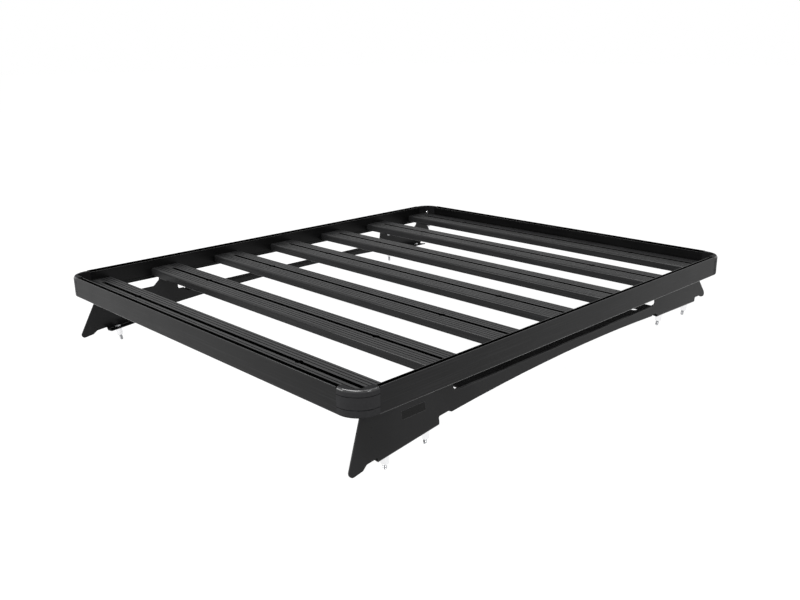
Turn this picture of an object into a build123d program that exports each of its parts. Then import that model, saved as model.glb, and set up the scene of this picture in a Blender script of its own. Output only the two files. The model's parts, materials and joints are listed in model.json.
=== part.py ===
# Flat platform roof rack: perimeter rails, corner castings, slats, two foot rails and their hardware.
# Millimetres. X runs across the rack, -Y is the front, Z is up, z = 0 is the tip of the lowest stud.
import os
from math import cos, radians, sin

from build123d import *

os.makedirs("parts", exist_ok=True)

# Tray
tray_length = 1358.0
tray_width = 1138.0
rail_width = 16.5
rail_height = 52.5
rail_shelf = 3.5
rail_edge_radius = 0.8
rail_foot_radius = 2.5
rail_wall = 2.6
rail_lip = 1.6
rail_slot_depth = 10.0
rail_lip_drop = 2.6
corner_leg = 54.0
corner_radius = 48.0
corner_edge_radius = 6.0
corner_grooves = (14.7, 38.8)
corner_groove_depth = 0.9
tenon_length = 26.0
clearance = 0.3

# Slats
slat_count = 7
slat_width = 86.0
slat_height = 20.7
slat_rise = 7.0
slat_end_gap = 9.5
slat_top_radius = 5.0
slat_bottom_radius = 1.5
slat_wall = 2.4
slot_mouth = 10.4
slat_slot_width = 17.0
slat_slot_depth = 6.2
groove_count = 3
groove_first = 13.8
groove_pitch = 9.1
groove_width = 2.2
groove_depth = 0.9
notch_radius = 8.0
notch_setback = 229.5
plug_length = 39.5

# Foot rails: bent sheet, drawn on the sloping outer face of the right one
sheet = 3.0
bend = 3.0
bend_leg = 12.0
plate_margin = 7.0
plate_slope = 9.0
roof_crown = 8.0
plate_inset = 49.5
ear_flange = 44.0
ear_bolt_inset = 29.0
ear_slot_travel = 7.0
saddle_drop = 22.5
saddle_radius = 3.0
front_slot_end = 19.0
rear_slot_end = 14.0
slot_end_drop = 46.0
slot_end_radius = 8.0
bar_drop = 47.5
bar_flange = 32.0
bar_hole_radius = 9.5
bar_hole_setback = 57.0
bar_hole_inset = 22.0
arch_centre = 105.0
arch_drop = 68.1
arch_radius = 6590.0
foot_flange = 28.0
# Ears, front to rear, as (start, end) along the rail from the centre of the slat above
front_ears = ((-14.2, 38.0), (-41.1, 17.2))
rear_ears = ((-11.7, 41.1), (-38.0, 14.2))
# Front foot from the centre of the first slat, rear foot from the last: (along, up) below the slats
front_flange_line = ((8.0, -122.7), (171.5, -105.1))
rear_flange_line = ((-207.0, -83.4), (-5.5, -87.7))
front_studs = (34.0, 144.0)
rear_studs = (-177.0, -39.0)
front_arch_end = 208.7
rear_arch_end = -236.4
# Lower outline of each foot, front to rear, as (along, up, corner radius)
front_nose = ((-71.0, -129.5, 9.0), (-32.2, -122.8, 4.0), (-22.1, -114.5, 5.0), (3.9, -111.7, 3.0))
front_relief = ((171.6, -85.7, 4.0), (199.6, -83.5, 3.0))
rear_relief = ((-230.4, -71.1, 2.0), (-212.4, -71.0, 2.0))
rear_nose = ((-1.0, -73.7, 3.0), (22.0, -73.8, 4.0), (33.9, -79.2, 4.0), (60.9, -81.4, 9.0))

# Hardware
bolt_radius = 4.0
shank_radius = 3.55
hole_radius = 4.5
hex_across = 13.0
head_height = 5.3
nut_height = 6.8
washer_radius = 8.0
washer_height = 1.6
spacer_radius = 8.0
spacer_height = 19.0
stud_reach = 14.5
stud_inset = 13.0
tee_head = 15.0
tee_height = 5.0
tee_reach = 4.0
corner_bolt_radius = 3.0
corner_head_radius = 5.5
corner_head_height = 3.3
corner_bolt_length = 5.5
tip_chamfer = 1.0

# Slat centres, front to rear
slat_length = tray_width - 2 * rail_width
slat_first = -tray_length / 2 + rail_width + slat_end_gap + slat_width / 2
slat_pitch = -2 * slat_first / (slat_count - 1)
slat_places = [slat_first + slat_pitch * index for index in range(slat_count)]


def from_slat(index, points):
    return [(slat_places[index] + along, *rest) for along, *rest in points]


# Slopes of the plate and of the foot flanges seen from the end
plate_up = Vector(-sin(radians(plate_slope)), 0, cos(radians(plate_slope)))
plate_inward = Vector(-cos(radians(plate_slope)), 0, -sin(radians(plate_slope)))
foot_angle = plate_slope + roof_crown
front_line = from_slat(0, front_flange_line)
rear_line = from_slat(-1, rear_flange_line)
feet = {
    "front": (front_line, [slat_places[0] + along for along in front_studs], slat_places[:2]),
    "rear": (rear_line, [slat_places[-1] + along for along in rear_studs], slat_places[-2:]),
}


def on_plate(along, up):
    return plate_origin + Vector(0, along, 0) + plate_up * up


def flange_plane(line, along):
    start, end = (on_plate(*point) for point in line)
    share = (along - line[0][0]) / (line[1][0] - line[0][0])
    return Plane(start + (end - start) * share, x_dir=plate_inward, z_dir=(end - start))


def stud_plane(line, along):
    corner = flange_plane(line, along)
    lie = corner.x_dir * cos(radians(foot_angle)) + corner.y_dir * sin(radians(foot_angle))
    rise = corner.y_dir * cos(radians(foot_angle)) - corner.x_dir * sin(radians(foot_angle))
    return Plane(corner.origin + lie * stud_inset, x_dir=lie, z_dir=rise)


# The slats stand as high as puts the tip of the foremost stud on the floor
stud_drop = spacer_height + stud_reach
plate_origin = Vector(tray_width / 2 - plate_inset, 0, 0)
lowest = stud_plane(front_line, feet["front"][1][0])
tip_lean = (1 - lowest.z_dir.Z**2) ** 0.5
slat_under = stud_drop * lowest.z_dir.Z + (bolt_radius - tip_chamfer) * tip_lean - lowest.origin.Z
deck = slat_under - slat_rise
plate_origin = Vector(tray_width / 2 - plate_inset, 0, slat_under)

# Rail section: outer face on x = 0, inside towards -x, an open slot in the top above a closed
# chamber, the inner lip lower than the outer one, and a shelf at the foot for the slat ends
rail_hollow = rail_width - 2 * rail_wall
chamber_height = rail_height - rail_slot_depth - 2 * rail_wall
chamber_middle = rail_wall + chamber_height / 2
with BuildSketch() as rail_section:
    with Locations((-rail_width / 2, rail_height / 2)):
        Rectangle(rail_width, rail_height)
    fillet(rail_section.vertices().group_by(Axis.Y)[-1].sort_by(Axis.X)[-1], rail_edge_radius)
    fillet(rail_section.vertices().group_by(Axis.Y)[0].sort_by(Axis.X)[-1], rail_foot_radius)
    with Locations((-rail_width - rail_shelf / 2, slat_rise / 2)):
        Rectangle(rail_shelf, slat_rise)
    with Locations((-rail_width + rail_lip / 2, rail_height - rail_lip_drop / 2)):
        Rectangle(rail_lip, rail_lip_drop, mode=Mode.SUBTRACT)
    with Locations((-rail_width / 2, rail_height - rail_slot_depth / 2)):
        Rectangle(rail_width - 2 * rail_lip, rail_slot_depth, mode=Mode.SUBTRACT)
    with Locations((-rail_width / 2, chamber_middle)):
        Rectangle(rail_hollow, chamber_height, mode=Mode.SUBTRACT)

side_length = tray_length - 2 * corner_leg
end_length = tray_width - 2 * corner_leg
rails = {
    "right_rail": ((tray_width / 2, side_length / 2), (1, 0), side_length),
    "left_rail": ((-tray_width / 2, -side_length / 2), (-1, 0), side_length),
    "front_rail": ((end_length / 2, -tray_length / 2), (0, -1), end_length),
    "rear_rail": ((-end_length / 2, tray_length / 2), (0, 1), end_length),
}
for rail_name, ((start_x, start_y), (out_x, out_y), length) in rails.items():
    rail_plane = Plane((start_x, start_y, deck), x_dir=(out_x, out_y, 0), z_dir=(out_y, -out_x, 0))
    with BuildPart() as rail:
        with BuildSketch(rail_plane):
            add(rail_section.sketch)
        extrude(amount=length)
    rail.part.label = rail_name
    export_step(rail.part, f"parts/{rail_name}.step")

# Corner casting: the grooved quarter turn, short legs, and tenons that enter the rail chambers
with BuildSketch() as corner_section:
    with Locations((-rail_width / 2, rail_height / 2)):
        Rectangle(rail_width, rail_height)
    fillet(corner_section.vertices().group_by(Axis.X)[-1].sort_by(Axis.Y)[-1], corner_edge_radius)
    fillet(corner_section.vertices().group_by(Axis.X)[-1].sort_by(Axis.Y)[0], rail_foot_radius)
    with Locations(*[(0, height) for height in corner_grooves]):
        RegularPolygon(corner_groove_depth, 4, mode=Mode.SUBTRACT)

turn_x = tray_width / 2 - corner_radius
turn_y = -tray_length / 2 + corner_radius
leg = corner_leg - corner_radius
front_leg = Plane((turn_x, -tray_length / 2, deck), x_dir=(0, -1, 0), z_dir=(-1, 0, 0))
side_leg_section = Plane((tray_width / 2, turn_y + leg, deck), x_dir=(1, 0, 0), z_dir=(0, -1, 0))
tenon_width = rail_hollow - 2 * clearance
tenon_height = chamber_height - 2 * clearance
bolt_plane = Plane((turn_x, turn_y, deck + slat_rise + slat_height), x_dir=(0, 0, 1), z_dir=(1, -1, 0))
inner_reach = corner_radius - rail_width
corner_gusset = slat_end_gap - clearance
bolt_seat = bolt_plane.offset((inner_reach - corner_gusset / 2) * 2**0.5 + corner_head_height)
with BuildPart() as corner:
    with BuildSketch(front_leg):
        add(corner_section.sketch)
    extrude(amount=leg)
    with BuildSketch(front_leg):
        add(corner_section.sketch)
    revolve(axis=Axis((turn_x, turn_y, 0), (0, 0, 1)), revolution_arc=90)
    with BuildSketch(side_leg_section):
        add(corner_section.sketch)
    extrude(amount=leg)
    with BuildSketch(front_leg.offset(leg)):
        with Locations((-rail_width / 2, chamber_middle)):
            Rectangle(tenon_width, tenon_height)
    extrude(amount=tenon_length)
    with BuildSketch(side_leg_section):
        with Locations((-rail_width / 2, chamber_middle)):
            Rectangle(tenon_width, tenon_height)
    extrude(amount=-tenon_length)
    with BuildSketch(Plane((turn_x, turn_y, deck))):
        with BuildLine():
            Polyline(
                (0, 0),
                (inner_reach, 0),
                (inner_reach, corner_gusset - inner_reach),
                (inner_reach - corner_gusset, -inner_reach),
                (0, -inner_reach),
                close=True,
            )
        make_face()
    extrude(amount=rail_height, mode=Mode.SUBTRACT)
    with BuildSketch(bolt_seat):
        Circle(corner_head_radius + clearance)
    extrude(amount=-2 * corner_head_height, mode=Mode.SUBTRACT)
    with BuildSketch(bolt_seat):
        Circle(corner_bolt_radius + clearance)
    extrude(amount=corner_bolt_length + clearance, mode=Mode.SUBTRACT)
with BuildPart() as corner_bolt:
    with BuildSketch(bolt_seat):
        Circle(corner_head_radius)
    extrude(amount=-corner_head_height)
    with BuildSketch(bolt_seat):
        Circle(corner_bolt_radius)
    extrude(amount=corner_bolt_length)

for end_name, flip_end in (("front", False), ("rear", True)):
    for side_name, flip_side in (("right", False), ("left", True)):
        for piece_name, source in (("corner", corner), ("corner_bolt", corner_bolt)):
            with BuildPart() as placed:
                piece = source.part
                if flip_end:
                    piece = mirror(piece, about=Plane.XZ, mode=Mode.PRIVATE)
                if flip_side:
                    piece = mirror(piece, about=Plane.YZ, mode=Mode.PRIVATE)
                add(piece)
            node = f"{end_name}_{side_name}_{piece_name}"
            placed.part.label = node
            export_step(placed.part, f"parts/{node}.step")

# Slat section: a T-slot above and below the middle web, a closed chamber and grooved strip on each side
slot_total = slat_wall + slat_slot_depth
notch_reach = slat_length / 2 - notch_setback
wing_inner = slat_slot_width / 2 + slat_wall
wing_outer = slat_width / 2 - slat_wall
with BuildSketch() as slat_section:
    with Locations((0, slat_height / 2)):
        Rectangle(slat_width, slat_height)
    fillet(slat_section.vertices().group_by(Axis.Y)[-1], slat_top_radius)
    fillet(slat_section.vertices().group_by(Axis.Y)[0], slat_bottom_radius)
    for slot_edge, into in ((slat_height, -1), (0, 1)):
        with Locations((0, slot_edge + into * slat_wall / 2)):
            Rectangle(slot_mouth, slat_wall, mode=Mode.SUBTRACT)
        with Locations((0, slot_edge + into * (slat_wall + slat_slot_depth / 2))):
            Rectangle(slat_slot_width, slat_slot_depth, mode=Mode.SUBTRACT)
    for wing in (-1, 1):
        with Locations((wing * (wing_inner + wing_outer) / 2, slat_height / 2)):
            Rectangle(wing_outer - wing_inner, slat_height - 2 * slat_wall, mode=Mode.SUBTRACT)
        for groove in range(groove_count):
            groove_place = wing * (groove_first + groove_pitch * groove)
            with Locations((groove_place, slat_height - groove_depth / 2)):
                Rectangle(groove_width, groove_depth, mode=Mode.SUBTRACT)

for index, place in enumerate(slat_places):
    slat_plane = Plane((-slat_length / 2, place, slat_under), x_dir=(0, 1, 0), z_dir=(1, 0, 0))
    with BuildPart() as slat:
        with BuildSketch(slat_plane):
            add(slat_section.sketch)
        extrude(amount=slat_length)
        with BuildSketch(Plane.XY.offset(slat_under + slat_height)):
            with Locations((-notch_reach, place), (notch_reach, place)):
                Circle(notch_radius)
        extrude(amount=-slat_wall, mode=Mode.SUBTRACT)
    slat.part.label = f"slat_{index + 1}"
    export_step(slat.part, f"parts/slat_{index + 1}.step")

# End plugs close the last stretch of each upper slat slot
plug_top = slat_under + slat_height - clearance
plug_floor = slat_under + slat_height - slot_total
for side_name, side in (("left", -1), ("right", 1)):
    with BuildPart() as plugs:
        for place in slat_places:
            plug_start = (side * slat_length / 2, place, plug_floor)
            with BuildSketch(Plane(plug_start, x_dir=(0, side, 0), z_dir=(side, 0, 0))):
                with Locations((0, (slat_slot_depth - clearance) / 2)):
                    Rectangle(slat_slot_width - 2 * clearance, slat_slot_depth - clearance)
                with Locations((0, (plug_top - plug_floor) / 2)):
                    Rectangle(slot_mouth - 2 * clearance, plug_top - plug_floor)
            extrude(amount=-plug_length)
    plugs.part.label = f"{side_name}_slat_plugs"
    export_step(plugs.part, f"parts/{side_name}_slat_plugs.step")


# Mid line of a bent flange: down or up the plate, round the bend and inwards
def bend_line(angle, width, side):
    lean, lie = sin(radians(angle)), cos(radians(angle))
    half = sheet / 2
    return (
        (half, side * bend_leg),
        (half, side * half * (1 + side * lean) / lie),
        (width * lie - side * half * lean, width * lean + side * half * lie),
    )


def arch_up(along):
    return -arch_drop - (along - arch_centre) ** 2 / (2 * arch_radius)


# Plate outline as (along, up, corner radius): ears and bar along the top, feet and arch underneath
eared_slats = slat_places[:2] + slat_places[-2:]
ears = [(place + start, place + end) for place, (start, end) in zip(eared_slats, front_ears + rear_ears)]
ear_up = -plate_margin
saddle_end = saddle_drop - plate_margin
bar_start = ears[1][1] + front_slot_end
bar_end = ears[2][0] - rear_slot_end
upper = []
for outer, inner, bar_tip, way in (
    (ears[0], ears[1], bar_start, 1),
    (ears[3][::-1], ears[2][::-1], bar_end, -1),
):
    half = [
        (outer[0], ear_up, 0),
        (outer[1], ear_up, 0),
        (outer[1] + way * saddle_end, -saddle_drop, saddle_radius),
        (inner[0] - way * saddle_end, -saddle_drop, saddle_radius),
        (inner[0], ear_up, 0),
        (inner[1], ear_up, 0),
        (inner[1], -slot_end_drop, slot_end_radius),
        (bar_tip, -slot_end_drop, 0),
        (bar_tip, -bar_drop - plate_margin, 0),
    ]
    upper += half[::-1] if upper else half
rear_lower = from_slat(-1, rear_relief)
rear_lower += [(along, up + plate_margin, 0) for along, up in rear_line]
rear_lower += from_slat(-1, rear_nose)
front_lower = from_slat(0, front_nose)
front_lower += [(along, up + plate_margin, 0) for along, up in front_line]
front_lower += from_slat(0, front_relief)
arch_front, arch_rear = (
    (along, arch_up(along), 0) for along in (slat_places[0] + front_arch_end, slat_places[-1] + rear_arch_end)
)
upper_side = upper + rear_lower[::-1] + [arch_rear]
front_side = [arch_front] + front_lower[::-1] + upper[:1]

with BuildPart() as right_foot_rail:
    with BuildSketch(Plane(plate_origin, x_dir=(0, 1, 0), z_dir=plate_inward * -1)) as plate_face:
        with BuildLine():
            Polyline(*[point[:2] for point in upper_side])
            ThreePointArc(arch_rear[:2], (arch_centre, -arch_drop), arch_front[:2])
            Polyline(*[point[:2] for point in front_side])
        make_face()
        for along, up, radius in upper_side + front_side:
            if radius:
                fillet(plate_face.vertices().sort_by_distance((along, up))[0], radius)
    extrude(amount=-sheet)
    for start, end in ears:
        with BuildSketch(Plane(on_plate(start, 0), x_dir=plate_inward, z_dir=(0, 1, 0))):
            with BuildLine():
                FilletPolyline(*bend_line(plate_slope, ear_flange, -1), radius=bend)
            trace(line_width=sheet)
        extrude(amount=end - start)
    with BuildSketch(Plane(on_plate(bar_start, -bar_drop), x_dir=plate_inward, z_dir=(0, 1, 0))):
        with BuildLine():
            FilletPolyline(*bend_line(plate_slope, bar_flange, -1), radius=bend)
        trace(line_width=sheet)
    extrude(amount=bar_end - bar_start)
    for line in (front_line, rear_line):
        flange_length = (on_plate(*line[1]) - on_plate(*line[0])).length
        with BuildSketch(flange_plane(line, line[0][0])):
            with BuildLine():
                FilletPolyline(*bend_line(foot_angle, foot_flange, 1), radius=bend)
            trace(line_width=sheet)
        extrude(amount=flange_length)
    for line, places, slat_centres in feet.values():
        for along in places:
            with BuildSketch(stud_plane(line, along)):
                Circle(hole_radius)
            extrude(amount=2 * sheet, both=True, mode=Mode.SUBTRACT)
        with BuildSketch(Plane.XY.offset(slat_under)):
            for place in slat_centres:
                with Locations((plate_origin.X - ear_bolt_inset, place)):
                    SlotCenterToCenter(ear_slot_travel, 2 * hole_radius)
        extrude(amount=-2 * sheet, mode=Mode.SUBTRACT)
    bar_corner = on_plate(bar_end - bar_hole_setback, -bar_drop)
    with BuildSketch(Plane.XY.offset(bar_corner.Z)):
        with Locations((bar_corner.X - bar_hole_inset, bar_corner.Y)):
            Circle(bar_hole_radius)
    extrude(amount=-2 * sheet, mode=Mode.SUBTRACT)

# Hardware of the right feet: studs and spacers on the foot flange, tee bolts and nuts under the slats
hardware = {"foot_rail": {"right": right_foot_rail.part}}
cone_seat = (Align.CENTER, Align.CENTER, Align.MIN)
nut_top = slat_under - sheet
nut_bottom = nut_top - washer_height - nut_height
for end_name, (line, places, slat_centres) in feet.items():
    with BuildPart() as studs:
        for along in places:
            seat = stud_plane(line, along)
            with BuildSketch(seat.offset(sheet)):
                RegularPolygon(hex_across / 2, 6, major_radius=False, rotation=30)
            extrude(amount=head_height)
            with BuildSketch(seat.offset(sheet)):
                Circle(shank_radius)
            extrude(amount=-(sheet + spacer_height))
            with BuildSketch(seat.offset(-spacer_height)):
                Circle(bolt_radius)
            extrude(amount=tip_chamfer - stud_reach)
            with Locations(seat.offset(-stud_drop).location):
                Cone(bolt_radius - tip_chamfer, bolt_radius, tip_chamfer, align=cone_seat)
    with BuildPart() as spacers:
        for along in places:
            with BuildSketch(stud_plane(line, along)):
                Circle(spacer_radius)
                Circle(bolt_radius + clearance, mode=Mode.SUBTRACT)
            extrude(amount=-spacer_height)
    with BuildPart() as tee_bolts:
        for place in slat_centres:
            with BuildSketch(Plane((plate_origin.X - ear_bolt_inset, place, slat_under + slat_wall))):
                Rectangle(tee_head, tee_head)
            extrude(amount=tee_height)
            with BuildSketch(Plane((plate_origin.X - ear_bolt_inset, place, nut_bottom - tee_reach))):
                Circle(bolt_radius)
            extrude(amount=slat_under + slat_wall - nut_bottom + tee_reach)
    with BuildPart() as nuts:
        for place in slat_centres:
            with BuildSketch(Plane((plate_origin.X - ear_bolt_inset, place, nut_top))):
                Circle(washer_radius)
                Circle(bolt_radius, mode=Mode.SUBTRACT)
            extrude(amount=-washer_height)
            with BuildSketch(Plane((plate_origin.X - ear_bolt_inset, place, nut_top - washer_height))):
                RegularPolygon(hex_across / 2, 6, major_radius=False)
                Circle(bolt_radius, mode=Mode.SUBTRACT)
            extrude(amount=-nut_height)
    pieces = {"studs": studs, "spacers": spacers, "tee_bolts": tee_bolts, "nuts": nuts}
    for piece_name, piece in pieces.items():
        hardware[f"{end_name}_{piece_name}"] = {"right": piece.part}

for piece_name, piece in hardware.items():
    piece["left"] = mirror(piece["right"], about=Plane.YZ)
    for side_name, solid in piece.items():
        solid.label = f"{side_name}_{piece_name}"
        export_step(solid, f"parts/{side_name}_{piece_name}.step")
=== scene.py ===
import json
import math

import bmesh
import bpy
from mathutils import Matrix, Vector


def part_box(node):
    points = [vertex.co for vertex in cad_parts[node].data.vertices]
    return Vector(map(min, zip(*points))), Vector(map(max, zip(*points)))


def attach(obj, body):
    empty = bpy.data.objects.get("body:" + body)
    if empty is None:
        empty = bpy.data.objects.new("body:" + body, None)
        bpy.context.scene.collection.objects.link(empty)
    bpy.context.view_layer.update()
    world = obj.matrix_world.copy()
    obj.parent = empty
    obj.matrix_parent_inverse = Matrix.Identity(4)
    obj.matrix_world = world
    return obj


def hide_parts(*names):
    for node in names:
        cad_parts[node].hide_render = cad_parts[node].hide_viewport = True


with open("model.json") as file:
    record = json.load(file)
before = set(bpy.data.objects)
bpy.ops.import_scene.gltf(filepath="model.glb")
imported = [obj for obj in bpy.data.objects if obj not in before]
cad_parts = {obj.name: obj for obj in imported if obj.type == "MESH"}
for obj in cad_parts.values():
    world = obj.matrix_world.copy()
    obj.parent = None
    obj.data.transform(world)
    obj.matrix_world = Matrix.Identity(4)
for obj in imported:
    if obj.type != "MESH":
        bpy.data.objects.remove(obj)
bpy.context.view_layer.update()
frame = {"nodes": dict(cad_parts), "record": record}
nodes = frame["nodes"]
mounts = frame["record"]["mounts"]
scene = bpy.context.scene
mm = 0.001
print("frame loaded,", len(nodes), "nodes")


# Small helpers for node trees
def put(tree, kind, **settings):
    node = tree.nodes.new(kind)
    for key, value in settings.items():
        setattr(node, key, value)
    return node


def wire(tree, *pairs):
    for source, target in pairs:
        tree.links.new(source, target)


def calc(tree, operation, a, b=None, c=None):
    node = put(tree, "ShaderNodeMath", operation=operation)
    for socket, value in zip(node.inputs, (a, b, c)):
        if value is None:
            continue
        if isinstance(value, (int, float)):
            socket.default_value = value
        else:
            tree.links.new(value, socket)
    return node.outputs[0]


def setPair(node, first, second, values):
    node.inputs[first].default_value, node.inputs[second].default_value = values


def addSockets(tree, inputs, outputs):
    for name, (kind, value) in inputs.items():
        socket = tree.interface.new_socket(name, in_out="INPUT", socket_type=kind)
        if value is not None:
            socket.default_value = value
    for name, kind in outputs.items():
        tree.interface.new_socket(name, in_out="OUTPUT", socket_type=kind)
    return put(tree, "NodeGroupInput"), put(tree, "NodeGroupOutput")


# Powder coat: patchy depth of colour, fine orange peel, and gloss that varies with both
def makeCoatGroup():
    tree = bpy.data.node_groups.new("coatSurface", "ShaderNodeTree")
    start, end = addSockets(
        tree,
        {
            "Vector": ("NodeSocketVector", None),
            "Dark": ("NodeSocketColor", (0.0095, 0.0095, 0.0099, 1)),
            "Pale": ("NodeSocketColor", (0.0165, 0.0165, 0.0171, 1)),
            "Peel Scale": ("NodeSocketFloat", 1400.0),
            "Patch Scale": ("NodeSocketFloat", 9.0),
            "Rough Low": ("NodeSocketFloat", 0.26),
            "Rough High": ("NodeSocketFloat", 0.36),
        },
        {"Color": "NodeSocketColor", "Roughness": "NodeSocketFloat", "Height": "NodeSocketFloat"},
    )
    patch = put(tree, "ShaderNodeTexNoise")
    patch.inputs["Detail"].default_value = 3
    peel = put(tree, "ShaderNodeTexNoise")
    peel.inputs["Detail"].default_value = 2
    speck = put(tree, "ShaderNodeMapRange")
    setPair(speck, "From Min", "From Max", (0.35, 0.72))
    blend = put(tree, "ShaderNodeMix", data_type="RGBA")
    rough = put(tree, "ShaderNodeMapRange")
    setPair(rough, "From Min", "From Max", (0.3, 0.7))
    peelShare, patchShare = 0.45, 0.55
    patchPart = calc(tree, "MULTIPLY", patch.outputs["Fac"], patchShare)
    wire(
        tree,
        (start.outputs["Vector"], patch.inputs["Vector"]),
        (start.outputs["Patch Scale"], patch.inputs["Scale"]),
        (start.outputs["Vector"], peel.inputs["Vector"]),
        (start.outputs["Peel Scale"], peel.inputs["Scale"]),
        (calc(tree, "MULTIPLY_ADD", peel.outputs["Fac"], peelShare, patchPart), speck.inputs["Value"]),
        (start.outputs["Dark"], blend.inputs["A"]),
        (start.outputs["Pale"], blend.inputs["B"]),
        (speck.outputs["Result"], blend.inputs["Factor"]),
        (patch.outputs["Fac"], rough.inputs["Value"]),
        (start.outputs["Rough Low"], rough.inputs["To Min"]),
        (start.outputs["Rough High"], rough.inputs["To Max"]),
        (blend.outputs["Result"], end.inputs["Color"]),
        (rough.outputs["Result"], end.inputs["Roughness"]),
        (peel.outputs["Fac"], end.inputs["Height"]),
    )
    return tree


# Faint drawing lines that run the length of an extrusion
def makeDrawLineGroup():
    tree = bpy.data.node_groups.new("drawLines", "ShaderNodeTree")
    start, end = addSockets(
        tree,
        {
            "Vector": ("NodeSocketVector", None),
            "Stretch": ("NodeSocketVector", (0.01, 1.0, 1.0)),
            "Line Scale": ("NodeSocketFloat", 420.0),
        },
        {"Lines": "NodeSocketFloat"},
    )
    stretch = put(tree, "ShaderNodeVectorMath", operation="MULTIPLY")
    lines = put(tree, "ShaderNodeTexNoise")
    lines.inputs["Detail"].default_value = 2
    wire(
        tree,
        (start.outputs["Vector"], stretch.inputs[0]),
        (start.outputs["Stretch"], stretch.inputs[1]),
        (stretch.outputs["Vector"], lines.inputs["Vector"]),
        (start.outputs["Line Scale"], lines.inputs["Scale"]),
        (lines.outputs["Fac"], end.inputs["Lines"]),
    )
    return tree


# Rubbed edges: how far the rounded normal leaves the face, broken up by noise
def makeEdgeRubGroup():
    tree = bpy.data.node_groups.new("edgeRub", "ShaderNodeTree")
    start, end = addSockets(
        tree,
        {
            "Vector": ("NodeSocketVector", None),
            "Round Normal": ("NodeSocketVector", None),
            "Face Normal": ("NodeSocketVector", None),
            "Break Scale": ("NodeSocketFloat", 60.0),
        },
        {"Mask": "NodeSocketFloat"},
    )
    turn = put(tree, "ShaderNodeVectorMath", operation="DOT_PRODUCT")
    edge = put(tree, "ShaderNodeMapRange")
    setPair(edge, "From Min", "From Max", (0.02, 0.25))
    breakUp = put(tree, "ShaderNodeTexNoise")
    breakUp.inputs["Detail"].default_value = 4
    keep = put(tree, "ShaderNodeMapRange")
    setPair(keep, "From Min", "From Max", (0.38, 0.62))
    wire(
        tree,
        (start.outputs["Round Normal"], turn.inputs[0]),
        (start.outputs["Face Normal"], turn.inputs[1]),
        (calc(tree, "SUBTRACT", 1.0, turn.outputs["Value"]), edge.inputs["Value"]),
        (start.outputs["Vector"], breakUp.inputs["Vector"]),
        (start.outputs["Break Scale"], breakUp.inputs["Scale"]),
        (breakUp.outputs["Fac"], keep.inputs["Value"]),
        (calc(tree, "MULTIPLY", edge.outputs["Result"], keep.outputs["Result"]), end.inputs["Mask"]),
    )
    return tree


# Which way a face lies: dull flat tops, on some coats painted darker as painted shade, and rounded edges
# that handling rubs smooth
def makeFaceLieGroup():
    tree = bpy.data.node_groups.new("faceLie", "ShaderNodeTree")
    start, end = addSockets(
        tree,
        {
            "Normal": ("NodeSocketVector", None),
            "Round Start": ("NodeSocketFloat", 0.28),
            "Round End": ("NodeSocketFloat", 0.88),
            "Flat Start": ("NodeSocketFloat", 0.94),
        },
        {"Flat": "NodeSocketFloat", "Round": "NodeSocketFloat"},
    )
    parts = put(tree, "ShaderNodeSeparateXYZ")
    tree.links.new(start.outputs["Normal"], parts.inputs["Vector"])
    steep = calc(tree, "ABSOLUTE", parts.outputs["Z"])
    above = calc(tree, "GREATER_THAN", steep, start.outputs["Round Start"])
    below = calc(tree, "LESS_THAN", steep, start.outputs["Round End"])
    wire(
        tree,
        (calc(tree, "GREATER_THAN", parts.outputs["Z"], start.outputs["Flat Start"]), end.inputs["Flat"]),
        (calc(tree, "MULTIPLY", above, below), end.inputs["Round"]),
    )
    return tree


# Inside of a slot or groove: near its centre line and below the top face, where the coat is painted near
# black as painted shade
def makeSunkGroup():
    tree = bpy.data.node_groups.new("sunkFaces", "ShaderNodeTree")
    start, end = addSockets(
        tree,
        {
            "Across": ("NodeSocketFloat", 0.0),
            "Height": ("NodeSocketFloat", 0.0),
            "Half Width": ("NodeSocketFloat", 0.01),
            "Top": ("NodeSocketFloat", 0.0),
            "Bottom": ("NodeSocketFloat", 0.0),
        },
        {"Mask": "NodeSocketFloat"},
    )
    off = calc(tree, "ABSOLUTE", start.outputs["Across"])
    within = calc(tree, "LESS_THAN", off, start.outputs["Half Width"])
    under = calc(tree, "LESS_THAN", start.outputs["Height"], start.outputs["Top"])
    over = calc(tree, "GREATER_THAN", start.outputs["Height"], start.outputs["Bottom"])
    wire(tree, (calc(tree, "MULTIPLY", within, calc(tree, "MULTIPLY", under, over)), end.inputs["Mask"]))
    return tree


# Faces that look into the tray, painted darker as painted shade where the coat lies in its own shade
def makeInnerGroup():
    tree = bpy.data.node_groups.new("innerFaces", "ShaderNodeTree")
    start, end = addSockets(
        tree,
        {
            "Vector": ("NodeSocketVector", None),
            "Normal": ("NodeSocketVector", None),
            "Turn": ("NodeSocketFloat", -0.1),
            "Share": ("NodeSocketFloat", 0.85),
        },
        {"Mask": "NodeSocketFloat"},
    )
    level = put(tree, "ShaderNodeVectorMath", operation="MULTIPLY")
    level.inputs[1].default_value = (1, 1, 0)
    outward = put(tree, "ShaderNodeVectorMath", operation="DOT_PRODUCT")
    wire(
        tree,
        (start.outputs["Vector"], level.inputs[0]),
        (level.outputs["Vector"], outward.inputs[0]),
        (start.outputs["Normal"], outward.inputs[1]),
    )
    inside = calc(tree, "LESS_THAN", outward.outputs["Value"], start.outputs["Turn"])
    wire(tree, (calc(tree, "MULTIPLY", inside, start.outputs["Share"]), end.inputs["Mask"]))
    return tree


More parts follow.
